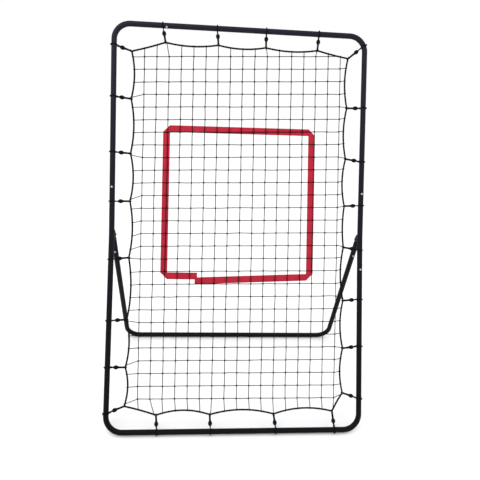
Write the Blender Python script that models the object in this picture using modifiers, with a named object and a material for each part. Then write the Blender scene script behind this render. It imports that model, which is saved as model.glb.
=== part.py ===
"""Pitching target net: a leaning tube frame, a net hung in it on elastic ties, and a folding rear leg.

The panel (tubes, net, ties) is laid out flat in its own plane and leans back on one empty:
    x  across, left negative     y  through the panel, towards its back     z  up along the panel
The rear leg is laid out on a second empty, whose origin is on the hinge axis.
Each snap clip is laid out on an empty of its own, with the button pointing along +y.
Units are metres, +Z is up, and the origin is on the floor under the middle of the object's box.
"""

import math

import bmesh
import bpy
from mathutils import Matrix, Vector

# Tubes
TUBE_R = 0.0111  # 7/8 inch outside diameter
WALL = 0.0012
BORE_R = TUBE_R - WALL
GAP = 0.0003  # between pieces that touch
INSERT_R = BORE_R - GAP  # a swaged end, which slides into the next tube
INSERT_BORE_R = INSERT_R - WALL
INSERT_LENGTH = 0.036
SHOULDER = 0.003  # solid ring behind each swaged end
NECK = 0.003  # taper from that ring to the full bore
TUBE_SIDES = 16

# Panel
HALF_WIDTH = 0.5224  # between the middle plane and a side tube, at the corners
PANEL_HEIGHT = 1.660  # from bottom bar to top bar, centre to centre
BOW = 0.008  # the ties pull each side in by this much at the hinge
HINGE_HEIGHT = 0.800  # up the panel from the bottom bar
LEAN = math.radians(32.5)
CORNER_R = 0.065
ELBOW_BAR_END = 0.297  # how near the middle plane an elbow reaches along its bar
ELBOW_TOP_END = 1.530
ELBOW_BOTTOM_END = 0.105
PIVOT_TUBE_LOW = 0.659
PIVOT_TUBE_HIGH = 1.005
BUTTON_INSET = 0.014  # from the rim of the outer tube to the middle of its button

# Elastic ties
TIE_R = 0.0019
TIE_RING_R = TUBE_R + 0.0025
CORD_R = 0.0024  # both strands of the loop together
TIE_REACH = 0.071  # from a side tube's axis to the border rope
BALL_REACH = 0.034
BALL_R = 0.0070
BALL_LENGTH = 0.022
RING_SIDES = 12
RING_SECTION = 5
BEND_STEPS = 8
# Where each tie goes round its tube, and where it hooks the rope, both measured along the tube.
LEFT_TIES = (
    (1.571, 1.548), (1.361, 1.353), (1.135, 1.130), (0.934, 0.936),
    (0.699, 0.707), (0.451, 0.456), (0.263, 0.263), (0.077, 0.106),
)
RIGHT_TIES = (
    (1.629, 1.564), (1.356, 1.353), (1.128, 1.138), (0.943, 0.939),
    (0.755, 0.765), (0.547, 0.541), (0.350, 0.341), (0.130, 0.154),
)
TOP_TIES = ((-0.327, -0.315), (-0.104, -0.098), (0.101, 0.100), (0.324, 0.318))
BOTTOM_TIES = ((-0.3185, -0.322), (-0.100, -0.104), (0.171, 0.160), (0.419, 0.407))
BAR_REACH = 0.069  # from a bar's axis to the border rope
LAST_REACH = 0.078  # the last bottom tie is stretched further
CORNER_TIE_ANGLE = math.radians(22.5)  # the first right tie sits on the elbow's bend

# Net
ROPE_R = 0.0030
NET_THICKNESS = 0.002
SAG_SIDE = 0.012  # how far the rope curves inwards between two ties
SAG_TOP = 0.011
SAG_BOTTOM = 0.019
SAG_CORNER = 0.002
SAG_TIGHT = 0.006  # between the fourth and fifth right ties
SPAN_STEPS = 3

# Strike zone tape, a band folded at its corners
TAPE_WIDTH = 0.028
TAPE_THICKNESS = 0.0012
ZONE_LEFT = -0.317
ZONE_RIGHT = 0.3145
ZONE_TOP_LEFT = 1.252
ZONE_TOP_RIGHT = 1.258
ZONE_BOTTOM_RIGHT = 0.624
ZONE_END_X = -0.172  # where the two ends of the tape lap
ZONE_END_LOW = 0.602  # the end of the long bottom run
ZONE_END_RISE = 0.0195  # the left end laps this far above the right one
FOLD = 0.032  # cut across each corner

# Rear leg
LEG_LENGTH = 0.673  # hinge axis to foot bar
HINGE_OFFSET = 0.030  # hinge axis behind the side tubes
LEG_HALF_WIDTH = HALF_WIDTH - BOW
FOOT_R = 0.060
STUB_ROUND = 0.020  # where the stub's round tube starts, below the axis
STUB_END = 0.0475
STUB_BUTTON = STUB_END + 0.040
STUB_INSERT = 0.050
FOOT_JOINT = 0.555
TONGUE_HALF = 0.008
TONGUE_R = 0.010

# Hinge hardware
PLATE = 0.002
EAR_INNER = TONGUE_HALF + 0.0005
EAR_OUTER = EAR_INNER + PLATE
EAR_ROUND = 0.0075  # round the bolt
EAR_LOW = -0.010
EAR_HIGH = 0.020
WEB_BACK = TUBE_R + GAP + PLATE
HEEL = 0.006  # length of the flat that rests on the web
BOLT_R = 0.003
BOLT_HOLE_R = BOLT_R + GAP
HEAD_R = 0.0055
HEAD_THICK = 0.0025
NUT_R = 0.0055
NUT_THICK = 0.0045

# Snap clips
BUTTON_R = 0.0045
BUTTON_HOLE_R = 0.0049
BUTTON_TURN = math.radians(50)  # how far the top left button is turned down from the panel's front
BUTTON_TOP = TUBE_R + 0.0032
LEAF_HALF_WIDTH = 0.0045
LEAF = 0.0008
LEAF_TOP = 0.0067

FLOOR_CLEARANCE = TIE_RING_R + TIE_R  # the bottom bar stands on its ties
PANEL_DEPTH = PANEL_HEIGHT * math.sin(LEAN)


def clear_scene():
    for obj in list(bpy.data.objects):
        bpy.data.objects.remove(obj, do_unlink=True)


def collection(name, hidden=False):
    made = bpy.data.collections.new(name)
    bpy.context.scene.collection.children.link(made)
    made.hide_render = hidden
    return made


def material(name, colour, roughness, metallic=0.0):
    made = bpy.data.materials.new(name)
    made.use_nodes = True
    shader = made.node_tree.nodes["Principled BSDF"]
    shader.inputs["Base Color"].default_value = (*colour, 1.0)
    shader.inputs["Roughness"].default_value = roughness
    shader.inputs["Metallic"].default_value = metallic
    return made


clear_scene()
PARTS = collection("pitching_target_net")
CUTTERS = collection("cutters", hidden=True)
TUBE_COAT = material("tube_coat", (0.022, 0.022, 0.030), 0.38)
ZINC = material("zinc_steel", (0.62, 0.62, 0.66), 0.35, 1.0)
BLACK_STEEL = material("black_steel", (0.03, 0.03, 0.035), 0.45, 0.6)
ELASTIC = material("black_elastic", (0.008, 0.008, 0.009), 0.8)
ROPE = material("black_rope", (0.012, 0.012, 0.014), 0.85)
TWINE = material("black_twine", (0.02, 0.02, 0.022), 0.8)
WEBBING = material("red_webbing", (0.50, 0.025, 0.05), 0.75)


def empty(name, location, rotation_x=0.0, parent=None):
    made = bpy.data.objects.new(name, None)
    made.empty_display_size = 0.05
    made.location = location
    made.rotation_euler = (rotation_x, 0.0, 0.0)
    made.parent = parent
    PARTS.objects.link(made)
    return made


PANEL = empty("panel_plane", (0.0, -PANEL_DEPTH / 2, FLOOR_CLEARANCE), -LEAN)
HINGE_Y = HINGE_HEIGHT * math.sin(LEAN) + HINGE_OFFSET * math.cos(LEAN) - PANEL_DEPTH / 2
HINGE_Z = FLOOR_CLEARANCE + HINGE_HEIGHT * math.cos(LEAN) - HINGE_OFFSET * math.sin(LEAN)
HALF_FACET = math.pi / TUBE_SIDES
FOOT_DROP = TUBE_R * math.cos(HALF_FACET)  # the foot bar stands on one of its flats
LEG_LEAN = math.acos((HINGE_Z - FOOT_DROP) / LEG_LENGTH)
LEG = empty("leg_hinge", (0.0, HINGE_Y, HINGE_Z), LEG_LEAN)


def make_object(name, mesh, surface, parent, place=None, group=PARTS):
    """Links a mesh object, placed by a matrix in its parent's space."""
    made = bpy.data.objects.new(name, mesh)
    group.objects.link(made)
    made.parent = parent
    if place is not None:
        made.matrix_local = place
    if surface is not None and not mesh.materials:
        mesh.materials.append(surface)
    return made


def shade(obj, angle=math.radians(35)):
    obj.data.shade_smooth()
    obj.data.set_sharp_from_angle(angle=angle)


def pointing(start, end, roll_hint=(0.0, 1.0, 0.0)):
    """A matrix at start whose z runs to end and whose y leans towards roll_hint."""
    z = (Vector(end) - Vector(start)).normalized()
    y = Vector(roll_hint)
    y = (y - z * y.dot(z)).normalized()
    x = y.cross(z)
    basis = Matrix((x, y, z)).transposed().to_4x4()
    return Matrix.Translation(start) @ basis


def turned(name, profile, surface, parent, place, closed=True):
    """Turns a (radius, height) profile round z, with a flat facing -y.

    An open profile starts and ends on the axis.
    """
    mesh = bpy.data.meshes.new(name)
    points = [(r * math.cos(HALF_FACET), r * math.sin(HALF_FACET), z) for r, z in profile]
    edges = [(i, i + 1) for i in range(len(points) - 1)]
    if closed:
        edges.append((len(points) - 1, 0))
    mesh.from_pydata(points, edges, [])
    made = make_object(name, mesh, surface, parent, place)
    screw = made.modifiers.new("turn", "SCREW")
    screw.axis = "Z"
    screw.steps = TUBE_SIDES
    screw.render_steps = TUBE_SIDES
    screw.use_merge_vertices = True
    screw.merge_threshold = 0.00001
    return baked(made)


def baked(obj):
    """Replaces an object's mesh with its evaluated one, and drops its modifiers."""
    bpy.context.view_layer.update()
    graph = bpy.context.evaluated_depsgraph_get()
    mesh = bpy.data.meshes.new_from_object(obj.evaluated_get(graph))
    work = bmesh.new()
    work.from_mesh(mesh)
    bmesh.ops.remove_doubles(work, verts=work.verts, dist=0.00001)
    bmesh.ops.recalc_face_normals(work, faces=work.faces)
    work.to_mesh(mesh)
    work.free()
    if obj.type == "MESH":
        obj.modifiers.clear()
        obj.data = mesh
        return obj
    made = bpy.data.objects.new(obj.name, mesh)
    name = obj.name
    for group in obj.users_collection:
        group.objects.link(made)
    made.parent = obj.parent
    made.matrix_local = obj.matrix_local
    bpy.data.objects.remove(obj)
    made.name = name
    return made


def sweep_path(
    name, points, radius, surface, parent, sides_resolution, cyclic=False, capped=True, tilt=0.0
):
    """A round tube along points, as a curve object; tilt turns its facets about its own axis."""
    curve = bpy.data.curves.new(name, "CURVE")
    curve.dimensions = "3D"
    curve.bevel_depth = radius
    curve.bevel_resolution = sides_resolution
    curve.use_fill_caps = capped
    curve.twist_mode = "MINIMUM"
    spline = curve.splines.new("POLY")
    spline.points.add(len(points) - 1)
    for slot, point in zip(spline.points, points):
        slot.co = (*point, 1.0)
        slot.tilt = tilt
    spline.use_cyclic_u = cyclic
    curve.materials.append(surface)
    made = bpy.data.objects.new(name, curve)
    PARTS.objects.link(made)
    made.parent = parent
    return made


def rounded(points, radius, steps):
    """The path with each inner corner replaced by an arc."""
    path = [Vector(points[0])]
    for before, corner, after in zip(points, points[1:], points[2:]):
        a = (Vector(before) - Vector(corner)).normalized()
        b = (Vector(after) - Vector(corner)).normalized()
        half = a.angle(b) / 2
        reach = radius / math.tan(half)
        centre = Vector(corner) + (a + b).normalized() * (radius / math.sin(half))
        start = Vector(corner) + a * reach - centre
        end = Vector(corner) + b * reach - centre
        turn = start.angle(end)
        for step in range(steps + 1):
            t = step / steps
            swept = start * math.sin((1 - t) * turn) + end * math.sin(t * turn)
            path.append(centre + swept / math.sin(turn))
    path.append(Vector(points[-1]))
    return path


def bent_tube(name, points, parent, radius, tilt=0.0):
    """A hollow tube of one wall thickness, open at both ends."""
    path = rounded(points, radius, BEND_STEPS) if radius else [Vector(p) for p in points]
    made = sweep_path(name, path, TUBE_R, TUBE_COAT, parent, 6, capped=False, tilt=tilt)
    made = baked(made)
    wall = made.modifiers.new("wall", "SOLIDIFY")
    wall.thickness = WALL
    wall.offset = -1.0
    wall.use_even_offset = True
    shade(made)
    return made


def swaged_profile(length, low_insert=True, high_insert=True):
    """The (radius, height) outline of a straight tube, swaged down at either end."""
    outer = []
    if high_insert:
        outer += [(INSERT_R, length + INSERT_LENGTH), (INSERT_R, length)]
    outer += [(TUBE_R, length), (TUBE_R, 0.0)]
    if low_insert:
        outer += [(INSERT_R, 0.0), (INSERT_R, -INSERT_LENGTH)]
    inner = []
    if low_insert:
        inner += [(INSERT_BORE_R, -INSERT_LENGTH), (INSERT_BORE_R, SHOULDER), (BORE_R, SHOULDER + NECK)]
    else:
        inner += [(BORE_R, 0.0)]
    if high_insert:
        inner += [(BORE_R, length - SHOULDER - NECK), (INSERT_BORE_R, length - SHOULDER)]
        inner += [(INSERT_BORE_R, length + INSERT_LENGTH)]
    else:
        inner += [(BORE_R, length)]
    return outer + inner


def side_x(height):
    """How far a side tube's axis is from the middle plane at a height up the panel."""
    if height < HINGE_HEIGHT:
        share = height / HINGE_HEIGHT
    else:
        share = (PANEL_HEIGHT - height) / (PANEL_HEIGHT - HINGE_HEIGHT)
    return HALF_WIDTH - BOW * share


def side_point(sign, height):
    return Vector((sign * side_x(height), 0.0, height))


def straight_tube(name, start, end, parent, low_insert=True, high_insert=True):
    """A straight tube between two joints, short of each by the gap where it has a swaged end."""
    axis = (Vector(end) - Vector(start)).normalized()
    low = Vector(start) + axis * (GAP if low_insert else 0.0)
    high = Vector(end) - axis * (GAP if high_insert else 0.0)
    profile = swaged_profile((high - low).length, low_insert, high_insert)
    made = turned(name, profile, TUBE_COAT, parent, pointing(low, high))
    shade(made)
    return made


def cylinder(name, radius, depth, place, surface=None, parent=None, sides=16, group=PARTS):
    mesh = bpy.data.meshes.new(name)
    work = bmesh.new()
    bmesh.ops.create_cone(
        work, cap_ends=True, segments=sides, radius1=radius, radius2=radius, depth=depth
    )
    work.to_mesh(mesh)
    work.free()
    return make_object(name, mesh, surface, parent, place, group)


def box(name, low, high, surface=None, parent=None, place=None, group=PARTS):
    """A box between two corners, in the space of place."""
    mesh = bpy.data.meshes.new(name)
    work = bmesh.new()
    bmesh.ops.create_cube(work, size=1.0)
    size = [b - a for a, b in zip(low, high)]
    middle = [(a + b) / 2 for a, b in zip(low, high)]
    bmesh.ops.scale(work, vec=size, verts=work.verts)
    bmesh.ops.translate(work, vec=middle, verts=work.verts)
    work.to_mesh(mesh)
    work.free()
    return make_object(name, mesh, surface, parent, place, group)


def plate(name, outline, low, high, surface=None, parent=None, place=None):
    """A flat plate across x, from its (y, z) outline, in the space of place."""
    curve = bpy.data.curves.new(name, "CURVE")
    curve.dimensions = "2D"
    curve.fill_mode = "BOTH"
    curve.extrude = (high - low) / 2
    spline = curve.splines.new("POLY")
    spline.points.add(len(outline) - 1)
    for slot, (y, z) in zip(spline.points, outline):
        slot.co = (y, z, 0.0, 1.0)
    spline.use_cyclic_u = True
    if surface is not None:
        curve.materials.append(surface)
    made = bpy.data.objects.new(name, curve)
    PARTS.objects.link(made)
    made.parent = parent
    # The curve's x and y become the plate's y and z, and its thickness lies along x.
    turn = Matrix(((0.0, 0.0, 1.0), (1.0, 0.0, 0.0), (0.0, 1.0, 0.0))).to_4x4()
    turn.translation.x = (low + high) / 2
    made.matrix_local = (place or Matrix()) @ turn
    return baked(made)


def arc(centre, radius, start, end, steps):
    """Points of an arc in (y, z), its angles in degrees from y towards z."""
    for step in range(steps + 1):
        a = math.radians(start + (end - start) * step / steps)
        yield (centre[0] + radius * math.cos(a), centre[1] + radius * math.sin(a))


def as_helper(obj):
    obj.hide_render = True
    obj.display_type = "WIRE"
    return obj


def boolean(target, tool, operation):
    modifier = target.modifiers.new(operation.lower(), "BOOLEAN")
    modifier.operation = operation
    modifier.solver = "EXACT"
    modifier.object = tool


def joined(target, tools):
    """Joins helpers into the target and removes them."""
    for tool in tools:
        boolean(target, tool, "UNION")
    target = baked(target)
    for tool in tools:
        bpy.data.objects.remove(tool)
    return target


def along_x(x, y, z):
    return Matrix.Translation((x, y, z)) @ Matrix.Rotation(math.pi / 2, 4, "Y")


def make_panel_tubes():
    """Top and bottom bars, four elbows, four side tubes and two pivot tubes."""
    tubes = {}
    for name, height in (("top_bar", PANEL_HEIGHT), ("bottom_bar", 0.0)):
        tubes[name] = straight_tube(
            name, (-ELBOW_BAR_END, 0.0, height), (ELBOW_BAR_END, 0.0, height), PANEL
        )
    for side, sign in (("left", -1), ("right", 1)):
        for end, height, rim in (
            ("top", PANEL_HEIGHT, ELBOW_TOP_END),
            ("bottom", 0.0, ELBOW_BOTTOM_END),
        ):
            path = (
                (sign * ELBOW_BAR_END, 0.0, height),
                (sign * HALF_WIDTH, 0.0, height),
                side_point(sign, rim),
            )
            name = f"elbow_{end}_{side}"
            tubes[name] = bent_tube(name, path, PANEL, CORNER_R)
        for part, low, high in (
            ("lower", ELBOW_BOTTOM_END, PIVOT_TUBE_LOW),
            ("upper", PIVOT_TUBE_HIGH, ELBOW_TOP_END),
        ):
            name = f"side_tube_{part}_{side}"
            tubes[name] = straight_tube(name, side_point(sign, low), side_point(sign, high), PANEL)
        name = f"pivot_tube_{side}"
        path = [side_point(sign, h) for h in (PIVOT_TUBE_LOW, HINGE_HEIGHT, PIVOT_TUBE_HIGH)]
        tubes[name] = bent_tube(name, path, PANEL, 0.0)
    return tubes


def make_leg_tubes():
    """Two stubs that hinge on the brackets, two arms, and the foot bar with its two bends."""
    tubes = {}
    for side, sign in (("left", -1), ("right", 1)):
        x = sign * LEG_HALF_WIDTH
        name = f"leg_stub_{side}"
        top = -STUB_ROUND
        rim = -STUB_END + GAP
        tip = -STUB_END - STUB_INSERT
        profile = (
            (0.0, top), (TUBE_R, top), (TUBE_R, rim), (INSERT_R, rim), (INSERT_R, tip),
            (INSERT_BORE_R, tip), (INSERT_BORE_R, top - 0.008), (0.0, top - 0.008),
        )
        stub = turned(name, profile, TUBE_COAT, LEG, Matrix.Translation((x, 0.0, 0.0)), closed=False)
        tongue = plate(
            "tongue", tongue_outline(top - 0.004), -TONGUE_HALF, TONGUE_HALF,
            parent=LEG, place=Matrix.Translation((x, 0.0, 0.0)),
        )
        stub = joined(stub, [tongue])
        hole = cylinder(
            f"stub_hole_{side}", BOLT_HOLE_R, 0.06, along_x(x, 0.0, 0.0),
            parent=LEG, sides=12, group=CUTTERS,
        )
        boolean(stub, as_helper(hole), "DIFFERENCE")
        shade(stub)
        tubes[name] = stub
        name = f"leg_arm_{side}"
        tubes[name] = straight_tube(
            name, (x, 0.0, -FOOT_JOINT), (x, 0.0, -STUB_END), LEG, low_insert=True, high_insert=False
        )
    x = LEG_HALF_WIDTH
    path = (
        (-x, 0.0, -FOOT_JOINT), (-x, 0.0, -LEG_LENGTH),
        (x, 0.0, -LEG_LENGTH), (x, 0.0, -FOOT_JOINT),
    )
    flat_down = HALF_FACET - LEG_LEAN
    tubes["leg_foot_bar"] = bent_tube("leg_foot_bar", path, LEG, FOOT_R, tilt=flat_down)
    return tubes


def tongue_outline(low):
    """The stub's flat end: round behind the bolt, with a heel that meets the bracket's web when open."""
    fold = LEAN + LEG_LEAN  # between the leg and the panel
    web = Vector((math.cos(fold), -math.sin(fold))) * (WEB_BACK + GAP - HINGE_OFFSET)
    along_web = Vector((math.sin(fold), math.cos(fold)))
    heel_low = web + along_web * ((-TONGUE_R - web.x) / along_web.x)
    heel_high = heel_low + along_web * HEEL
    back = list(arc((0.0, 0.0), TONGUE_R, 0.0, 60.0, 5))
    return [(-TONGUE_R, low), (TONGUE_R, low), *back, tuple(heel_high), tuple(heel_low)]


def make_hinges():
    """On each pivot tube a clevis bracket, a bolt across it and a nut on the outer side."""
    for side, sign in (("left", -1), ("right", 1)):
        place = Matrix.Translation((sign * LEG_HALF_WIDTH, 0.0, HINGE_HEIGHT))
        web_front = TUBE_R + GAP
        bracket = box(
            f"pivot_bracket_{side}", (-EAR_OUTER, web_front, EAR_LOW),
            (EAR_OUTER, web_front + PLATE, EAR_HIGH), BLACK_STEEL, PANEL, place,
        )
        rounding = list(arc((HINGE_OFFSET, 0.0), EAR_ROUND, -90.0, 50.0, 8))
        outline = [(web_front + PLATE / 2, EAR_LOW), *rounding, (web_front + PLATE / 2, EAR_HIGH)]
        ears = [
            plate("ear_left", outline, -EAR_OUTER, -EAR_INNER, parent=PANEL, place=place),
            plate("ear_right", outline, EAR_INNER, EAR_OUTER, parent=PANEL, place=place),
        ]
        bracket = joined(bracket, ears)
        x = sign * LEG_HALF_WIDTH
        hole = cylinder(
            f"bracket_hole_{side}", BOLT_HOLE_R, 0.06, along_x(x, HINGE_OFFSET, HINGE_HEIGHT),
            parent=PANEL, sides=12, group=CUTTERS,
        )
        boolean(bracket, as_helper(hole), "DIFFERENCE")
        shade(bracket)
        make_bolt(side, sign, x)


def make_bolt(side, sign, x):
    """A round-headed bolt, head inwards, and its hexagon nut."""
    head_in = EAR_OUTER + GAP
    nut_out = head_in + NUT_THICK
    tip = nut_out + 0.0015
    crown = head_in + HEAD_THICK
    profile = (
        (0.0, crown), (HEAD_R * 0.6, crown - 0.0005), (HEAD_R, head_in + 0.0008), (HEAD_R, head_in),
        (BOLT_R, head_in), (BOLT_R, -tip + 0.0005), (BOLT_R - 0.0005, -tip), (0.0, -tip),
    )
    inwards = pointing((x, HINGE_OFFSET, HINGE_HEIGHT), (x - sign, HINGE_OFFSET, HINGE_HEIGHT))
    bolt = turned(f"pivot_bolt_{side}", profile, BLACK_STEEL, PANEL, inwards, closed=False)
    shade(bolt)
    middle = inwards @ Matrix.Translation((0.0, 0.0, -(head_in + nut_out) / 2))
    nut = cylinder(f"pivot_nut_{side}", NUT_R, NUT_THICK, middle, BLACK_STEEL, PANEL, sides=6)
    hole = cylinder(
        f"nut_hole_{side}", BOLT_HOLE_R, 0.02, middle, parent=PANEL, sides=16, group=CUTTERS
    )
    boolean(nut, as_helper(hole), "DIFFERENCE")
    shade(nut)


def make_clip(name, tubes, parent, at, inwards, facing):
    """A spring clip inside a swaged end, and the hole that its button comes through.

    at is the button's place on the tube axis, inwards points from it into the swaged tube,
    and facing is the way the button points.
    """
    place = pointing(at, Vector(at) + Vector(inwards), facing)
    hole = cylinder(
        f"hole_{name}", BUTTON_HOLE_R, 0.014,
        place @ Matrix.Translation((0.0, 0.012, 0.0)) @ Matrix.Rotation(math.pi / 2, 4, "X"),
        parent=parent, sides=12, group=CUTTERS,
    )
    as_helper(hole)
    for tube in tubes:
        boolean(tube, hole, "DIFFERENCE")
    outline = (
        (-0.007, LEAF_TOP), (0.024, LEAF_TOP), (0.0265, LEAF_TOP - 0.0010), (0.0275, LEAF_TOP - 0.003),
        (0.0265, LEAF_TOP - 0.0045), (-0.004, -0.0018), (-0.004, -0.0010), (0.0255, LEAF_TOP - 0.0035),
        (0.0262, LEAF_TOP - 0.0025), (0.0255, LEAF_TOP - 0.0015), (0.0236, LEAF_TOP - LEAF),
        (-0.007, LEAF_TOP - LEAF),
    )
    curve = bpy.data.curves.new(name, "CURVE")
    curve.dimensions = "2D"
    curve.fill_mode = "BOTH"
    curve.extrude = LEAF_HALF_WIDTH
    spline = curve.splines.new("POLY")
    spline.points.add(len(outline) - 1)
    for slot, (z, y) in zip(spline.points, outline):
        slot.co = (z, y, 0.0, 1.0)
    spline.use_cyclic_u = True
    curve.materials.append(ZINC)
    leaf = bpy.data.objects.new(name, curve)
    PARTS.objects.link(leaf)
    leaf.parent = parent
    # The outline's own x is the clip's z, and its y stays y.
    leaf.matrix_local = place @ Matrix.Rotation(-math.pi / 2, 4, "Y")
    leaf = baked(leaf)
    foot = LEAF_TOP - LEAF / 2
    profile = (
        (0.0, BUTTON_TOP), (BUTTON_R * 0.55, BUTTON_TOP - 0.0003), (BUTTON_R, BUTTON_TOP - 0.0015),
        (BUTTON_R, foot), (0.0, foot),
    )
    outwards = place @ Matrix.Rotation(-math.pi / 2, 4, "X")
    button = turned("button", profile, ZINC, parent, outwards, closed=False)
    clip = joined(leaf, [button])
    shade(clip)


def make_clips(tubes):
    """Ten snap clips: two in each bar, four in the side tubes and two in the leg."""
    front = (0.0, -1.0, 0.0)
    back = (0.0, 1.0, 0.0)
    turned_down = (0.0, -math.cos(BUTTON_TURN), -math.sin(BUTTON_TURN))
    for side, sign in (("left", -1), ("right", 1)):
        for end, height in (("top", PANEL_HEIGHT), ("bottom", 0.0)):
            visible = (end, side) == ("top", "left")
            make_clip(
                f"snap_clip_{end}_{side}",
                (tubes[f"{end}_bar"], tubes[f"elbow_{end}_{side}"]),
                PANEL,
                (sign * (ELBOW_BAR_END + BUTTON_INSET), 0.0, height),
                (-sign, 0.0, 0.0),
                turned_down if visible else back,
            )
        for part, rim, way in (("upper", PIVOT_TUBE_HIGH, 1), ("lower", PIVOT_TUBE_LOW, -1)):
            at = side_point(sign, rim - way * BUTTON_INSET)
            inwards = side_point(sign, rim + way * 0.1) - side_point(sign, rim)
            make_clip(
                f"snap_clip_{part}_{side}",
                (tubes[f"side_tube_{part}_{side}"], tubes[f"pivot_tube_{side}"]),
                PANEL,
                at,
                inwards,
                back if (part, side) == ("lower", "left") else front,
            )
        make_clip(
            f"snap_clip_leg_{side}",
            (tubes[f"leg_stub_{side}"], tubes[f"leg_arm_{side}"]),
            LEG,
            (sign * LEG_HALF_WIDTH, 0.0, -STUB_BUTTON),
            (0.0, 0.0, 1.0),
            front,
        )


def tie_places():
    """Each tie's name, the point on its tube's axis, the tube's direction, and its hook on the rope."""
    for side, sign, ties in (("left", -1, LEFT_TIES), ("right", 1, RIGHT_TIES)):
        for number, (ring, hook) in enumerate(ties, 1):
            axis = Vector((0.0, 0.0, 1.0))
            centre = side_point(sign, ring)
            if ring > PANEL_HEIGHT - CORNER_R:
                bend = Vector((sign * (HALF_WIDTH - CORNER_R), 0.0, PANEL_HEIGHT - CORNER_R))
                out = Vector((sign * math.cos(CORNER_TIE_ANGLE), 0.0, math.sin(CORNER_TIE_ANGLE)))
                centre = bend + out * CORNER_R
                axis = Vector((-out.z, 0.0, out.x))
            hook_point = Vector((sign * (side_x(hook) - TIE_REACH), 0.0, hook))
            yield f"tie_{side}_{number}", centre, axis, hook_point
    for side, height, way, ties in (
        ("top", PANEL_HEIGHT, -1, TOP_TIES),
        ("bottom", 0.0, 1, BOTTOM_TIES),
    ):
        for number, (ring, hook) in enumerate(ties, 1):
            reach = LAST_REACH if (side, number) == ("bottom", 4) else BAR_REACH
            hook_point = Vector((hook, 0.0, height + way * reach))
            yield f"tie_{side}_{number}", Vector((ring, 0.0, height)), Vector((1.0, 0.0, 0.0)), hook_point


def make_ties():
    """Elastic loops: a ring round the tube, a toggle and a doubled cord to the rope, each one solid."""
    for name, centre, axis, hook in tie_places():
        off = (hook - centre) - axis * (hook - centre).dot(axis)
        off.normalize()
        ring = sweep_ring(name, centre, axis, off)
        start = centre + off * TIE_RING_R
        pull = (hook - start).normalized()
        end = hook - pull * (ROPE_R + 2 * GAP)
        middle = pointing((start + end) / 2, end)
        cord = cylinder("cord", CORD_R, (end - start).length, middle, parent=PANEL, sides=6)
        ball = toggle("ball", centre.lerp(hook, BALL_REACH / TIE_REACH), pull)
        tie = joined(ring, [cord, ball])
        shade(tie)


def sweep_ring(name, centre, axis, off):
    """A ring round a tube, with a corner of its outline where the cord leaves it."""
    other = axis.cross(off)
    mesh = bpy.data.meshes.new(name)
    work = bmesh.new()
    rings = []
    for step in range(RING_SIDES):
        a = 2 * math.pi * step / RING_SIDES
        out = off * math.cos(a) + other * math.sin(a)
        middle = centre + out * TIE_RING_R
        rings.append([
            work.verts.new(middle + (out * math.cos(b) + axis * math.sin(b)) * TIE_R)
            for b in (2 * math.pi * k / RING_SECTION for k in range(RING_SECTION))
        ])
    for i in range(RING_SIDES):
        here, there = rings[i], rings[(i + 1) % RING_SIDES]
        for k in range(RING_SECTION):
            after = (k + 1) % RING_SECTION
            work.faces.new((here[k], here[after], there[after], there[k]))
    bmesh.ops.recalc_face_normals(work, faces=work.faces)
    work.to_mesh(mesh)
    work.free()
    return make_object(name, mesh, ELASTIC, PANEL)


def toggle(name, middle, pull):
    mesh = bpy.data.meshes.new(name)
    work = bmesh.new()
    bmesh.ops.create_uvsphere(work, u_segments=8, v_segments=5, radius=BALL_R)
    bmesh.ops.scale(work, vec=(1.0, 1.0, BALL_LENGTH / 2 / BALL_R), verts=work.verts)
    work.to_mesh(mesh)
    work.free()
    return make_object(name, mesh, None, PANEL, pointing(middle, middle + pull))


def rope_route():
    """The border rope's centre line: from hook to hook, clockwise, curving inwards between them."""
    hooks = {name: hook for name, _, _, hook in tie_places()}
    order = [f"tie_top_{n}" for n in (1, 2, 3, 4)]
    order += [f"tie_right_{n}" for n in range(1, 9)]
    order += [f"tie_bottom_{n}" for n in (4, 3, 2, 1)]
    order += [f"tie_left_{n}" for n in range(8, 0, -1)]
    sags = {"top": SAG_TOP, "bottom": SAG_BOTTOM, "left": SAG_SIDE, "right": SAG_SIDE}
    route = []
    for here, there in zip(order, order[1:] + order[:1]):
        a, b = hooks[here], hooks[there]
        edge = here.split("_")[1]
        sag = sags[edge] if edge == there.split("_")[1] else SAG_CORNER
        if here == "tie_right_4":
            sag = SAG_TIGHT
        inwards = (b - a).normalized().cross(Vector((0.0, 1.0, 0.0))) * -1
        for step in range(SPAN_STEPS):
            t = step / SPAN_STEPS
            route.append(a.lerp(b, t) + inwards * (4 * sag * t * (1 - t)))
    return route


def flat_solid(name, outline, thickness, middle_y, surface):
    """A flat sheet in the panel's plane, from an (x, z) outline."""
    curve = bpy.data.curves.new(name, "CURVE")
    curve.dimensions = "2D"
    curve.fill_mode = "BOTH"
    curve.extrude = thickness / 2
    spline = curve.splines.new("POLY")
    spline.points.add(len(outline) - 1)
    for slot, (x, z) in zip(spline.points, outline):
        slot.co = (x, z, 0.0, 1.0)
    spline.use_cyclic_u = True
    curve.materials.append(surface)
    made = bpy.data.objects.new(name, curve)
    PARTS.objects.link(made)
    made.parent = PANEL
    made.matrix_local = Matrix.Translation((0.0, middle_y, 0.0)) @ Matrix.Rotation(math.pi / 2, 4, "X")
    return baked(made)


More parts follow.
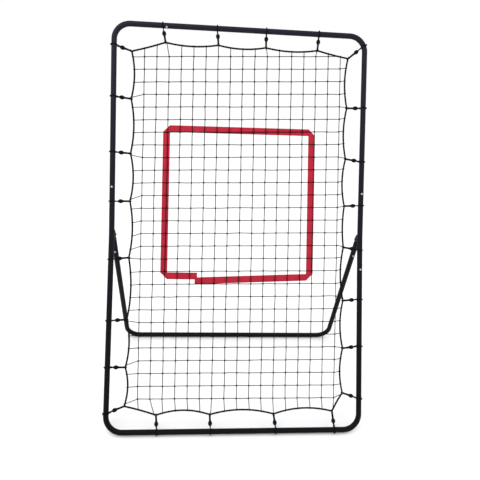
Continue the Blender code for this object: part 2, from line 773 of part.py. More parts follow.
def make_net():
    """The border rope, the mesh inside it as one flat sheet, and the strike zone's tape behind the mesh."""
    route = rope_route()
    rope = baked(sweep_path("border_rope", route, ROPE_R, ROPE, PANEL, 1, cyclic=True))
    shade(rope)
    outline = []
    clear = ROPE_R + 4 * GAP
    for before, here, after in zip(route[-1:] + route[:-1], route, route[1:] + route[:1]):
        along = (after - before).normalized()
        inwards = along.cross(Vector((0.0, 1.0, 0.0))) * -1
        inside = here + inwards * clear
        outline.append((inside.x, inside.z))
    flat_solid("net_mesh", outline, NET_THICKNESS, 0.0, TWINE)
    tape_y = NET_THICKNESS / 2 + GAP + TAPE_THICKNESS / 2
    flat_solid("strike_zone_tape", tape_outline(), TAPE_THICKNESS, tape_y, WEBBING)


def tape_outline():
    """The open band: round the outside from its right end to its left end, and back along the inside."""
    left_low = ZONE_END_LOW + ZONE_END_RISE
    outer = [
        (ZONE_END_X, ZONE_END_LOW), (ZONE_RIGHT - FOLD, ZONE_BOTTOM_RIGHT),
        (ZONE_RIGHT, ZONE_BOTTOM_RIGHT + FOLD),
        (ZONE_RIGHT, ZONE_TOP_RIGHT - FOLD), (ZONE_RIGHT - FOLD, ZONE_TOP_RIGHT),
        (ZONE_LEFT + FOLD, ZONE_TOP_LEFT), (ZONE_LEFT, ZONE_TOP_LEFT - FOLD),
        (ZONE_LEFT, left_low + FOLD), (ZONE_LEFT + FOLD, left_low), (ZONE_END_X, left_low),
    ]
    w = TAPE_WIDTH
    inner = [
        (ZONE_END_X, left_low + w), (ZONE_LEFT + w, left_low + w), (ZONE_LEFT + w, ZONE_TOP_LEFT - w),
        (ZONE_RIGHT - w, ZONE_TOP_RIGHT - w), (ZONE_RIGHT - w, ZONE_BOTTOM_RIGHT + w),
        (ZONE_END_X + 0.003, ZONE_END_LOW + w), (ZONE_END_X + 0.003, ZONE_END_LOW + w / 2),
    ]
    return outer + inner


def main():
    tubes = make_panel_tubes()
    tubes.update(make_leg_tubes())
    make_hinges()
    make_clips(tubes)
    make_ties()
    make_net()


main()
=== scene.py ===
"""Looks of the pitching target net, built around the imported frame.

The panel has coordinates of its own, worked out from the frame: x across, n through it towards its back,
and s up along it from the bottom bar's axis. panel(x, n, s) gives the point in the shared frame.
"""

import math

import bpy
import numpy as np
from mathutils import Matrix, Vector


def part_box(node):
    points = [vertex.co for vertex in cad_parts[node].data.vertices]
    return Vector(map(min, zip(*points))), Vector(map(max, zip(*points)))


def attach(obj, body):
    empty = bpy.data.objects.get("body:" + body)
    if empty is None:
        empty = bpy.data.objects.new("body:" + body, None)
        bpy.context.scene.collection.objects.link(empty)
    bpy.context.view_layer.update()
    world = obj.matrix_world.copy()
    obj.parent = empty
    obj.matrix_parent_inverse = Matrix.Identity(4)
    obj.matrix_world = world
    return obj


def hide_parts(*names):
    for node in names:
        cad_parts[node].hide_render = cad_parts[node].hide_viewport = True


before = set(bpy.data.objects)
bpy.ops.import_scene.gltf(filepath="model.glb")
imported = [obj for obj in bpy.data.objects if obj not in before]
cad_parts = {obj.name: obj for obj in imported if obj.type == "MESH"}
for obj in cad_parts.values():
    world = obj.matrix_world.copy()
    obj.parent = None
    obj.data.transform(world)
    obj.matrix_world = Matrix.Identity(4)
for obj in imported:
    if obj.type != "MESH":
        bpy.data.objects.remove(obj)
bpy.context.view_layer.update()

RANDOM = np.random.RandomState(7)
TAU = 2 * math.pi

# Camera: a 35 mm lens at eye height, in front of the object and a little to its left
CAMERA_AT = (-0.1487, -1.6391, 1.6858)
CAMERA_YAW = math.radians(5.494)
CAMERA_PITCH = math.radians(31.788)
CAMERA_ROLL = math.radians(4.052)
CAMERA_LENS = 34.63

# Frame, as the CAD has it
TUBE_R = 0.0111
HALF_WIDTH = 0.5224  # between the middle plane and a side tube, at the corners
TIE_RING_R = 0.0136
ELBOW_BAR_END = 0.297
ELBOW_TOP_END = 1.530
ELBOW_BOTTOM_END = 0.105
PIVOT_TUBE_LOW = 0.659
PIVOT_TUBE_HIGH = 1.005
HINGE_HEIGHT = 0.800
BOW = 0.008
CORNER_R = 0.065
FOOT_R = 0.060
FOOT_JOINT = 0.555
STUB_END = 0.0475
STUB_ROUND = 0.020
TONGUE_X = 0.008
TONGUE_R = 0.010
TONGUE_SQUARE = 0.55  # how square the flattened end is across
HEEL_LOW = (-0.0100, 0.0132)  # the heel's two ends, as (through, up) on the leg
HEEL_HIGH = (-0.0060, 0.0176)
BUTTON_INSET = 0.014
STUB_BUTTON = STUB_END + 0.040
BUTTON_R = 0.0045
BUTTON_CROWN = 0.0032  # how far a button stands out of its tube
BUTTON_HOLE_R = 0.0049
BUTTON_TURN = math.radians(50)  # how far the top left button is turned down from the panel's front
INSERT_R = 0.0096
SEAM = 0.0003
RIM_BEVEL = 0.0006
TUBE_SIDES = 40
BEND_STEPS = 20

# Elastic ties: where each goes round its tube, and where it hooks the rope
LEFT_TIES = (
    (1.571, 1.548), (1.361, 1.353), (1.135, 1.130), (0.934, 0.936),
    (0.699, 0.707), (0.451, 0.456), (0.263, 0.263), (0.077, 0.106),
)
RIGHT_TIES = (
    (1.629, 1.564), (1.356, 1.353), (1.128, 1.138), (0.943, 0.939),
    (0.755, 0.765), (0.547, 0.541), (0.350, 0.341), (0.130, 0.154),
)
TOP_TIES = ((-0.327, -0.315), (-0.104, -0.098), (0.101, 0.100), (0.324, 0.318))
BOTTOM_TIES = ((-0.3185, -0.322), (-0.100, -0.104), (0.171, 0.160), (0.419, 0.407))
CORNER_TIE_ANGLE = math.radians(22.5)
TIE_REACH = 0.071
BAR_REACH = 0.069
LAST_REACH = 0.078
LOOP_GRIP = 0.0004  # the elastic pulls in from the CAD's ring by this much
BALL_REACH = 0.034
BALL_LENGTH = 0.022
BALL_R = 0.0084
BALL_END_R = 0.0030
BALL_BORE_R = 0.0020
BALL_FULLNESS = 0.8  # below 1 the toggle's sides are fuller than a sine's
CORD_R = 0.0023

# Net
ROPE_R = 0.0036
BRAID_PITCH = 0.014
BRAID_STRANDS = 4  # that turn each way
SAG_SIDE = 0.012
SAG_TOP = 0.011
SAG_BOTTOM = 0.019
SAG_CORNER = 0.002
SAG_TIGHT = 0.006
SPAN_STEPS = 24
TWINE_R = 0.0016
COLUMNS = 17
ROWS = 28
FIRST_COLUMN = -0.3978
COLUMN_PITCH = 0.0495
COLUMN_GROWTH = 0.00009  # the meshes are a little wider towards the right
FIRST_ROW = 0.1342
ROW_PITCH = 0.05242
TOP_ROW_SLOPE = 0.0528  # the rows climb to the right, less and less towards the bottom
ROW_CENTRE = 0.008  # where the rows turn about as they climb
TAPER = 0.010  # the right half narrows by this share towards the bottom
KNOT_R = 0.0025
KNOT_TILT = 0.7  # each knot is two loops, tilted this far either way, in radians
KNOT_LEAN = 0.25
KNOT_SPREAD = 0.0004  # how far the knots stray from their grid
SLACK_SPREAD = 0.00035  # how far the strands bow between knots
STRAND_LIFT = 0.0006  # columns run this far in front of the net's plane and rows behind it
HOOK_PULL = 0.65  # how much of the way to a hook the nearest strand is drawn
LEFT_DROP = 0.003
LEFT_SLACK = 0.014
RIGHT_RISE = 0.004
FOOT_SHIFT = 0.004  # the columns' low ends stand this far to the right of the columns

# Strike zone tape
TAPE_WIDTH = 0.028
TAPE_THICKNESS = 0.0009
TAPE_FRONT = 0.0013  # how far behind the net's plane the band's front is
STITCH_PITCH = 0.0046
STITCH_LENGTH = 0.0032
STITCH_INSET = 0.0028
THREAD_R = 0.00022
ZONE_LEFT = -0.317
ZONE_RIGHT = 0.3145
ZONE_TOP_LEFT = 1.252
ZONE_TOP_RIGHT = 1.258
ZONE_BOTTOM_RIGHT = 0.624
ZONE_END_X = -0.172
LAP = 0.005  # how far each end runs past that place
ZONE_END_LOW = 0.602
ZONE_END_RISE = 0.0195


def centre_of(node):
    low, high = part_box(node)
    return (low + high) / 2


BOTTOM = centre_of("bottom_bar")
TOP = centre_of("top_bar")
PANEL_HEIGHT = (TOP - BOTTOM).length
UP = (TOP - BOTTOM).normalized()
THROUGH = UP.cross(Vector((1.0, 0.0, 0.0)))
PANEL = Matrix((Vector((1.0, 0.0, 0.0)), THROUGH, UP)).transposed().to_4x4()
PANEL.translation = Vector((0.0, BOTTOM.y, BOTTOM.z))

HINGE = centre_of("pivot_bolt_left")
HINGE.x = 0.0
FOOT = centre_of("leg_foot_bar")
FOOT.z = TUBE_R
FOOT.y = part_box("leg_foot_bar")[1].y - TUBE_R
LEG_LENGTH = math.hypot(FOOT.y - HINGE.y, FOOT.z - HINGE.z)
LEG_UP = (HINGE - Vector((0.0, FOOT.y, FOOT.z))).normalized()
LEG_BACK = LEG_UP.cross(Vector((1.0, 0.0, 0.0)))
LEG = Matrix((Vector((1.0, 0.0, 0.0)), LEG_BACK, LEG_UP)).transposed().to_4x4()
LEG.translation = HINGE
LEG_HALF_WIDTH = HALF_WIDTH - BOW


# ---------------------------------------------------------------- camera, floor, light

def make_camera():
    forward = Vector((
        math.sin(CAMERA_YAW) * math.cos(CAMERA_PITCH),
        math.cos(CAMERA_YAW) * math.cos(CAMERA_PITCH),
        -math.sin(CAMERA_PITCH),
    ))
    level = Vector((math.cos(CAMERA_YAW), -math.sin(CAMERA_YAW), 0.0))
    upright = level.cross(forward)
    right = level * math.cos(CAMERA_ROLL) + upright * math.sin(CAMERA_ROLL)
    up = upright * math.cos(CAMERA_ROLL) - level * math.sin(CAMERA_ROLL)
    data = bpy.data.cameras.new("camera")
    data.lens = CAMERA_LENS
    data.sensor_width = 36.0
    camera = bpy.data.objects.new("camera", data)
    bpy.context.scene.collection.objects.link(camera)
    place = Matrix((right, up, -forward)).transposed().to_4x4()
    place.translation = CAMERA_AT
    camera.matrix_world = place
    bpy.context.scene.camera = camera


def area_light(name, location, target, size, power, colour=(1.0, 1.0, 1.0)):
    data = bpy.data.lights.new(name, "AREA")
    data.shape = "RECTANGLE"
    data.size, data.size_y = size
    data.energy = power
    data.color = colour
    light = bpy.data.objects.new(name, data)
    bpy.context.scene.collection.objects.link(light)
    light.location = location
    light.rotation_mode = "QUATERNION"
    light.rotation_quaternion = (Vector(target) - Vector(location)).to_track_quat("-Z", "Y")


def make_stage():
    """A pale floor, a pale sky and two large soft lights."""
    bpy.ops.mesh.primitive_plane_add(size=60.0, location=(0.0, 0.0, -0.0004))
    floor = bpy.context.object
    floor.name = "floor"
    surface = bpy.data.materials.new("floor_paint")
    surface.use_nodes = True
    shader = surface.node_tree.nodes["Principled BSDF"]
    shader.inputs["Base Color"].default_value = (0.93, 0.93, 0.93, 1.0)
    shader.inputs["Roughness"].default_value = 0.9
    shader.inputs["Specular IOR Level"].default_value = 0.1
    floor.data.materials.append(surface)
    world = bpy.data.worlds.new("sky")
    bpy.context.scene.world = world
    world.use_nodes = True
    sky = world.node_tree.nodes["Background"]
    sky.inputs["Color"].default_value = (1.0, 1.0, 1.0, 1.0)
    sky.inputs["Strength"].default_value = 1.08
    area_light("key", (-0.9, -0.6, 2.7), (0.0, 0.3, 1.2), (1.6, 1.0), 22.0, (0.94, 0.96, 1.0))
    area_light("fill", (1.6, -0.8, 2.4), (0.2, 0.2, 1.0), (1.2, 1.2), 8.0, (0.90, 0.94, 1.0))
    settings = bpy.context.scene.view_settings
    settings.view_transform = "Standard"
    settings.look = "None"


# ---------------------------------------------------------------- materials

class Surface:
    """A Principled material with a few helpers for its nodes."""

    def __init__(self, name, colour, roughness, metallic=0.0, specular=0.5):
        self.made = bpy.data.materials.new(name)
        self.made.use_nodes = True
        self.nodes = self.made.node_tree.nodes
        self.links = self.made.node_tree.links
        self.shader = self.nodes["Principled BSDF"]
        self.shader.inputs["Base Color"].default_value = (*colour, 1.0)
        self.shader.inputs["Roughness"].default_value = roughness
        self.shader.inputs["Metallic"].default_value = metallic
        self.shader.inputs["Specular IOR Level"].default_value = specular

    def add(self, kind, **inputs):
        node = self.nodes.new(kind)
        for name, value in inputs.items():
            node.inputs[name.replace("_", " ")].default_value = value
        return node

    def math(self, operation, first, second=None):
        node = self.nodes.new("ShaderNodeMath")
        node.operation = operation
        for slot, value in zip(node.inputs, (first, second)):
            if value is None:
                continue
            if isinstance(value, (int, float)):
                slot.default_value = value
            else:
                self.links.new(value, slot)
        return node.outputs[0]

    def noise(self, scale, detail=2.0, stretch=(1.0, 1.0, 1.0)):
        """Noise in the shared frame's metres."""
        where = self.nodes.new("ShaderNodeTexCoord")
        mapping = self.nodes.new("ShaderNodeMapping")
        mapping.inputs["Scale"].default_value = stretch
        self.links.new(where.outputs["Object"], mapping.inputs["Vector"])
        made = self.add("ShaderNodeTexNoise", Scale=scale, Detail=detail)
        self.links.new(mapping.outputs[0], made.inputs["Vector"])
        return made.outputs["Fac"]

    def lay(self):
        """The (along in metres, across in metres or round in turns, 0) that each woven piece carries."""
        attribute = self.nodes.new("ShaderNodeAttribute")
        attribute.attribute_name = "lay"
        parts = self.nodes.new("ShaderNodeSeparateXYZ")
        self.links.new(attribute.outputs["Vector"], parts.inputs[0])
        return parts.outputs[0], parts.outputs[1]

    def wave(self, along, pitch, across=None, turns=0.0):
        """0 to 1, once for each pitch along, sloping by turns across."""
        phase = self.math("MULTIPLY", along, TAU / pitch)
        if across is not None:
            phase = self.math("ADD", phase, self.math("MULTIPLY", across, TAU * turns))
        return self.half(self.math("SINE", phase))

    def half(self, value):
        return self.math("ADD", self.math("MULTIPLY", value, 0.5), 0.5)

    def colours(self, factor, low, high, start=0.0, end=1.0):
        ramp = self.nodes.new("ShaderNodeValToRGB")
        ramp.color_ramp.elements[0].color = (*low, 1.0)
        ramp.color_ramp.elements[1].color = (*high, 1.0)
        ramp.color_ramp.elements[0].position = start
        ramp.color_ramp.elements[1].position = end
        self.links.new(factor, ramp.inputs["Fac"])
        self.links.new(ramp.outputs["Color"], self.shader.inputs["Base Color"])

    def range(self, factor, low, high, socket="Roughness"):
        node = self.add("ShaderNodeMapRange", To_Min=low, To_Max=high)
        self.links.new(factor, node.inputs["Value"])
        self.links.new(node.outputs[0], self.shader.inputs[socket])

    def bump(self, height, distance, strength=1.0):
        node = self.add("ShaderNodeBump", Distance=distance, Strength=strength)
        self.links.new(height, node.inputs["Height"])
        self.links.new(node.outputs[0], self.shader.inputs["Normal"])


def tube_coat():
    """Satin powder coat: fine orange peel, faint scuffs, and painted light that makes the colour paler
    and bluish towards the top.
    """
    made = Surface("powder_coat", (0.005, 0.005, 0.006), 0.45, specular=0.07)
    where = made.nodes.new("ShaderNodeTexCoord")
    parts = made.nodes.new("ShaderNodeSeparateXYZ")
    made.links.new(where.outputs["Object"], parts.inputs[0])
    # painted light: the colour grows paler and bluish with height, as if lit from above; the noise adds
    # real random tone
    painted_top_light = made.math("MULTIPLY", parts.outputs[2], 0.6)
    mix = made.math("ADD", painted_top_light, made.math("MULTIPLY", made.noise(7.0, 4.0), 0.25))
    made.colours(mix, (0.0030, 0.0028, 0.0030), (0.0105, 0.0110, 0.0185), 0.15, 1.0)
    made.range(made.noise(60.0, 3.0), 0.40, 0.52)
    made.bump(made.noise(900.0, 1.0), 0.00012, 0.5)
    return made.made


def steel(name, colour, roughness, metallic, specular=0.5):
    made = Surface(name, colour, roughness, metallic, specular)
    made.colours(made.noise(300.0, 3.0), [c * 0.8 for c in colour], colour, 0.3, 0.7)
    made.range(made.noise(500.0, 2.0), roughness - 0.08, roughness + 0.12)
    made.bump(made.noise(1500.0, 1.0), 0.00004, 0.5)
    return made.made


def braid(name, colour, pitch, depth):
    """A braided cover: two sets of strands that cross, round a cord, with painted shade in the grooves
    between them.
    """
    made = Surface(name, colour, 0.8, specular=0.06)
    along, across = made.lay()
    one = made.wave(along, pitch, across, BRAID_STRANDS)
    other = made.wave(along, pitch, across, -BRAID_STRANDS)
    height = made.math("MAXIMUM", one, other)
    # painted shade and light: the grooves between strands darker, the crowns paler
    made.colours(height, [c * 0.45 for c in colour], [c * 1.5 for c in colour], 0.2, 0.95)
    made.bump(height, depth)
    return made.made


def twine():
    """Three plies twisted round each other, with painted shade between them."""
    colour = (0.005, 0.005, 0.006)
    made = Surface("twine", colour, 0.75, specular=0.06)
    along, across = made.lay()
    height = made.wave(along, 0.0030, across, 3.0)
    # painted shade and light: the creases between plies darker, the crowns paler
    made.colours(height, [c * 0.5 for c in colour], [c * 1.5 for c in colour], 0.1, 0.9)
    made.bump(height, 0.0003)
    return made.made


def webbing():
    """Plain-woven webbing: ribs across, warp ends along, a firmer selvedge, slight fading, and painted
    shade between the ribs and warp ends.
    """
    deep, bright = (0.30, 0.009, 0.022), (0.45, 0.019, 0.040)
    made = Surface("webbing", bright, 0.70, specular=0.10)
    along, across = made.lay()
    ribs = made.wave(along, 0.0016)
    warp = made.wave(across, 0.0012)
    height = made.math("ADD", made.math("MULTIPLY", ribs, 0.6), made.math("MULTIPLY", warp, 0.4))
    fade = made.noise(14.0, 3.0)
    # the colour mixes painted shade from the weave's height with real fading
    mix = made.math("ADD", made.math("MULTIPLY", height, 0.45), made.math("MULTIPLY", fade, 0.55))
    made.colours(mix, deep, bright, 0.15, 0.7)
    made.bump(height, 0.0003)
    return made.made


# ---------------------------------------------------------------- mesh building

class Builder:
    """Collects tubes, strips and turned shapes in local coordinates, and makes one object of them."""

    def __init__(self):
        self.verts = []
        self.faces = []
        self.lay = []
        self.count = 0

    def add_mesh(self, points, faces, lays):
        self.verts.append(np.asarray(points, float).reshape(-1, 3))
        self.faces += [[i + self.count for i in face] for face in faces]
        self.lay += lays
        self.count += len(self.verts[-1])

    def tube(self, path, radius, sides, closed=False, hint=(0.0, 1.0, 0.0), swell=None):
        """A tube along a path, its radius one number or one for each point."""
        path = np.asarray(path, float)
        n = len(path)
        radii = np.broadcast_to(np.asarray(radius, float), (n,))
        ahead = np.roll(path, -1, 0) - path
        behind = path - np.roll(path, 1, 0)
        if not closed:
            ahead[-1] = behind[-1]
            behind[0] = ahead[0]
        tangents = ahead / np.linalg.norm(ahead, axis=1)[:, None]
        tangents = tangents + behind / np.linalg.norm(behind, axis=1)[:, None]
        tangents /= np.linalg.norm(tangents, axis=1)[:, None]
        lengths = np.concatenate([[0.0], np.cumsum(np.linalg.norm(np.diff(path, axis=0), axis=1))])
        angles = TAU * np.arange(sides) / sides
        side = np.asarray(hint, float)
        side = side - tangents[0] * (side @ tangents[0])
        side /= np.linalg.norm(side)
        rings = []
        for i in range(n):
            side = side - tangents[i] * (side @ tangents[i])
            side /= np.linalg.norm(side)
            other = np.cross(tangents[i], side)
            r = np.full(sides, radii[i])
            if swell is not None:
                r = r * swell(lengths[i], angles)
            rings.append(path[i] + np.cos(angles)[:, None] * r[:, None] * side
                         + np.sin(angles)[:, None] * r[:, None] * other)
        faces, lays = [], []
        spans = n if closed else n - 1
        for i in range(spans):
            j = (i + 1) % n
            far = lengths[j] if j else lengths[-1] + np.linalg.norm(path[0] - path[-1])
            for k in range(sides):
                m = (k + 1) % sides
                faces.append([i * sides + k, i * sides + m, j * sides + m, j * sides + k])
                a, b = k / sides, (k + 1) / sides
                lays += [(lengths[i], a), (lengths[i], b), (far, b), (far, a)]
        if not closed:
            faces.append(list(range(sides - 1, -1, -1)))
            faces.append([(n - 1) * sides + k for k in range(sides)])
            lays += [(lengths[0], 0.0)] * sides + [(lengths[-1], 0.0)] * sides
        self.add_mesh(np.concatenate(rings), faces, lays)

    def turned(self, profile, start, end, sides=32):
        """A (height, radius) profile turned round the line from start towards end, with flat ends."""
        axis = (Vector(end) - Vector(start)).normalized()
        hint = Vector((0.0, 1.0, 0.0)) if abs(axis.y) < 0.9 else Vector((1.0, 0.0, 0.0))
        side = (hint - axis * axis.dot(hint)).normalized()
        other = axis.cross(side)
        points, faces, lays = [], [], []
        for height, r in profile:
            centre = Vector(start) + axis * height
            for k in range(sides):
                a = TAU * k / sides
                points.append(centre + side * (r * math.cos(a)) + other * (r * math.sin(a)))
        for i, (low, high) in enumerate(zip(profile, profile[1:])):
            for k in range(sides):
                m = (k + 1) % sides
                faces.append([i * sides + k, i * sides + m, (i + 1) * sides + m, (i + 1) * sides + k])
                a, b = k / sides, (k + 1) / sides
                lays += [(low[0], a), (low[0], b), (high[0], b), (high[0], a)]
        faces.append(list(range(sides - 1, -1, -1)))
        faces.append([(len(profile) - 1) * sides + k for k in range(sides)])
        lays += [(0.0, 0.0)] * (2 * sides)
        self.add_mesh(points, faces, lays)

    def ring(self, centre, axis, radius, thickness, steps=24, sides=10):
        """A torus."""
        axis = Vector(axis).normalized()
        side = axis.orthogonal().normalized()
        other = axis.cross(side)
        path = []
        for i in range(steps):
            a = TAU * i / steps
            path.append(Vector(centre) + side * (radius * math.cos(a)) + other * (radius * math.sin(a)))
        self.tube(path, thickness, sides, closed=True, hint=tuple(side))

    def loft(self, sections, lay_rows=None):
        """A closed solid through sections: lists of points of equal length, with each point's lay."""
        sides = len(sections[0])
        if lay_rows is None:
            lay_rows = [[(0.0, 0.0)] * sides] * len(sections)
        faces, lays = [], []
        for i in range(len(sections) - 1):
            for k in range(sides):
                m = (k + 1) % sides
                faces.append([i * sides + k, i * sides + m, (i + 1) * sides + m, (i + 1) * sides + k])
                lays += [lay_rows[i][k], lay_rows[i][m], lay_rows[i + 1][m], lay_rows[i + 1][k]]
        faces.append(list(range(sides - 1, -1, -1)))
        lays += lay_rows[0][::-1]
        faces.append([(len(sections) - 1) * sides + k for k in range(sides)])
        lays += lay_rows[-1]
        self.add_mesh([p for section in sections for p in section], faces, lays)

    def object(self, name, surface, body, place, slot, replaces=(), sharp=40):
        name += "_fine"
        mesh = bpy.data.meshes.new(name)
        points = np.concatenate(self.verts)
        turn = np.array(place.to_3x3())
        points = points @ turn.T + np.array(place.translation)
        mesh.from_pydata(points.tolist(), [], self.faces)
        lay = mesh.attributes.new("lay", "FLOAT_VECTOR", "CORNER")
        flat = np.zeros((len(self.lay), 3), np.float32)
        flat[:, :2] = self.lay
        lay.data.foreach_set("vector", flat.ravel())
        mesh.materials.append(surface)
        mesh.shade_smooth()
        mesh.set_sharp_from_angle(angle=math.radians(sharp))
        made = bpy.data.objects.new(name, mesh)
        bpy.context.scene.collection.objects.link(made)
        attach(made, body)
        if replaces:
            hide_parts(*replaces)
        return made


# ---------------------------------------------------------------- tubes

def rounded(points, radius, steps):
    """The path with each inner corner replaced by an arc."""
    path = [Vector(points[0])]
    for before, corner, after in zip(points, points[1:], points[2:]):
        a = (Vector(before) - Vector(corner)).normalized()
        b = (Vector(after) - Vector(corner)).normalized()
        half = a.angle(b) / 2
        centre = Vector(corner) + (a + b).normalized() * (radius / math.sin(half))
        start = Vector(corner) + a * (radius / math.tan(half)) - centre
        end = Vector(corner) + b * (radius / math.tan(half)) - centre
        turn = start.angle(end)
        for step in range(steps + 1):
            t = step / steps
            swept = start * math.sin((1 - t) * turn) + end * math.sin(t * turn)
            path.append(centre + swept / math.sin(turn))
    path.append(Vector(points[-1]))
    return path


def side_x(height):
    """How far a side tube's axis is from the middle plane at a height up the panel."""
    if height < HINGE_HEIGHT:
        share = height / HINGE_HEIGHT
    else:
        share = (PANEL_HEIGHT - height) / (PANEL_HEIGHT - HINGE_HEIGHT)
    return HALF_WIDTH - BOW * share


def side_point(sign, height):
    return Vector((sign * side_x(height), 0.0, height))


def socket_tube(name, points, body, place, bend):
    """A tube that its neighbours slide into: its rims are slightly rounded."""
    path = rounded(points, bend, BEND_STEPS) if bend else [Vector(p) for p in points]
    first = (path[1] - path[0]).normalized() * RIM_BEVEL
    last = (path[-2] - path[-1]).normalized() * RIM_BEVEL
    path = [path[0], path[0] + first, *path[1:-1], path[-1] + last, path[-1]]
    radii = [TUBE_R] * len(path)
    radii[0] = radii[-1] = TUBE_R - RIM_BEVEL
    builder = Builder()
    builder.tube(path, radii, TUBE_SIDES)
    return builder.object(name, TUBE_COAT, body, place, "tube_coat", [name])


def swaged_tube(name, start, end, body, place, low_insert=True, high_insert=True):
    """A straight tube whose swaged ends run into its neighbours."""
    length = (Vector(end) - Vector(start)).length
    reach = 0.012
    low = SEAM if low_insert else 0.0
    high = length - SEAM if high_insert else length
    profile = [(-reach, INSERT_R), (low, INSERT_R)] if low_insert else []
    profile += [(low, TUBE_R - RIM_BEVEL), (low + RIM_BEVEL, TUBE_R)]
    profile += [(high - RIM_BEVEL, TUBE_R), (high, TUBE_R - RIM_BEVEL)]
    profile += [(high, INSERT_R), (length + reach, INSERT_R)] if high_insert else []
    builder = Builder()
    builder.turned(profile, start, end, TUBE_SIDES)
    return builder.object(name, TUBE_COAT, body, place, "tube_coat", [name])


def drill(tube, place, at, facing):
    """Cuts the hole that a button stands in."""
    spot = place @ Vector(at)
    out = place.to_3x3() @ Vector(facing)
    bpy.ops.mesh.primitive_cylinder_add(vertices=32, radius=BUTTON_HOLE_R, depth=0.012)
    cutter = bpy.context.object
    cutter.rotation_mode = "QUATERNION"
    cutter.rotation_quaternion = out.to_track_quat("Z", "Y")
    cutter.location = spot + out * 0.013
    cut = tube.modifiers.new("hole", "BOOLEAN")
    cut.operation = "DIFFERENCE"
    cut.solver = "EXACT"
    cut.object = cutter
    bpy.context.view_layer.update()
    graph = bpy.context.evaluated_depsgraph_get()
    mesh = bpy.data.meshes.new_from_object(tube.evaluated_get(graph))
    tube.modifiers.clear()
    tube.data = mesh
    mesh.set_sharp_from_angle(angle=math.radians(40))
    bpy.data.objects.remove(cutter)


def make_tubes():
    """The panel's twelve tubes and the leg's five."""
    tubes = {}
    for name, height in (("top_bar", PANEL_HEIGHT), ("bottom_bar", 0.0)):
        ends = ((-ELBOW_BAR_END, 0.0, height), (ELBOW_BAR_END, 0.0, height))
        tubes[name] = swaged_tube(name, *ends, "frame", PANEL)
    for side, sign in (("left", -1), ("right", 1)):
        for end, height, rim in (
            ("top", PANEL_HEIGHT, ELBOW_TOP_END),
            ("bottom", 0.0, ELBOW_BOTTOM_END),
        ):
            name = f"elbow_{end}_{side}"
            path = (
                (sign * ELBOW_BAR_END, 0.0, height),
                (sign * HALF_WIDTH, 0.0, height),
                side_point(sign, rim),
            )
            tubes[name] = socket_tube(name, path, "frame", PANEL, CORNER_R)
        for part, low, high in (
            ("lower", ELBOW_BOTTOM_END, PIVOT_TUBE_LOW),
            ("upper", PIVOT_TUBE_HIGH, ELBOW_TOP_END),
        ):
            name = f"side_tube_{part}_{side}"
            ends = (side_point(sign, low), side_point(sign, high))
            tubes[name] = swaged_tube(name, *ends, "frame", PANEL)
        name = f"pivot_tube_{side}"
        path = [side_point(sign, h) for h in (PIVOT_TUBE_LOW, HINGE_HEIGHT, PIVOT_TUBE_HIGH)]
        tubes[name] = socket_tube(name, path, "frame", PANEL, 0.0)
        x = sign * LEG_HALF_WIDTH
        name = f"leg_arm_{side}"
        ends = ((x, 0.0, -FOOT_JOINT), (x, 0.0, -STUB_END))
        tubes[name] = swaged_tube(name, *ends, "rear_leg", LEG, high_insert=False)
        tubes[f"leg_stub_{side}"] = leg_stub(f"leg_stub_{side}", x)
    x = LEG_HALF_WIDTH
    path = (
        (-x, 0.0, -FOOT_JOINT), (-x, 0.0, -LEG_LENGTH),
        (x, 0.0, -LEG_LENGTH), (x, 0.0, -FOOT_JOINT),
    )
    tubes["leg_foot_bar"] = socket_tube("leg_foot_bar", path, "rear_leg", LEG, FOOT_R)
    return tubes


def leg_stub(name, x):
    """A tube whose top is pressed flat for the bolt, with a heel that rests on the bracket when open."""
    sections = []

    def section(z, half_x, front, back, power=1.0):
        loop = []
        for k in range(TUBE_SIDES):
            a = TAU * k / TUBE_SIDES
            c, s = math.cos(a), math.sin(a)
            loop.append((
                x + half_x * math.copysign(abs(c) ** power, c),
                (front + back) / 2 + (back - front) / 2 * math.copysign(abs(s) ** power, s),
                z,
            ))
        sections.append(loop)

    rim = -STUB_END + SEAM
    section(rim - 0.012, INSERT_R, -INSERT_R, INSERT_R)
    section(rim, INSERT_R, -INSERT_R, INSERT_R)
    section(rim, TUBE_R - RIM_BEVEL, RIM_BEVEL - TUBE_R, TUBE_R - RIM_BEVEL)
    section(rim + RIM_BEVEL, TUBE_R, -TUBE_R, TUBE_R)
    steps = 10
    for step in range(steps + 1):
        t = step / steps
        eased = t * t * (3 - 2 * t)
        half_x = TUBE_R + (TONGUE_X - TUBE_R) * eased
        half_y = TUBE_R + (TONGUE_R - TUBE_R) * eased
        section(-STUB_ROUND * (1 - t) - 0.008 * t, half_x, -half_y, half_y, 1.0 - TONGUE_SQUARE * eased)
    round_end = TONGUE_R * math.sin(math.radians(60))
    for step in range(1, 3 * steps + 1):
        z = HEEL_HIGH[1] * 0.99 * step / (3 * steps)
        if z < round_end:
            back = math.sqrt(TONGUE_R * TONGUE_R - z * z)
        else:
            back = np.interp(z, (round_end, HEEL_HIGH[1]), (TONGUE_R / 2, HEEL_HIGH[0]))
        front = np.interp(z, (HEEL_LOW[1], HEEL_HIGH[1]), (HEEL_LOW[0], HEEL_HIGH[0]))
        section(z, TONGUE_X, front, back, 1.0 - TONGUE_SQUARE)
    builder = Builder()
    builder.loft(sections)
    return builder.object(name, TUBE_COAT, "rear_leg", LEG, "tube_coat", [name])


# ---------------------------------------------------------------- hinges and clips

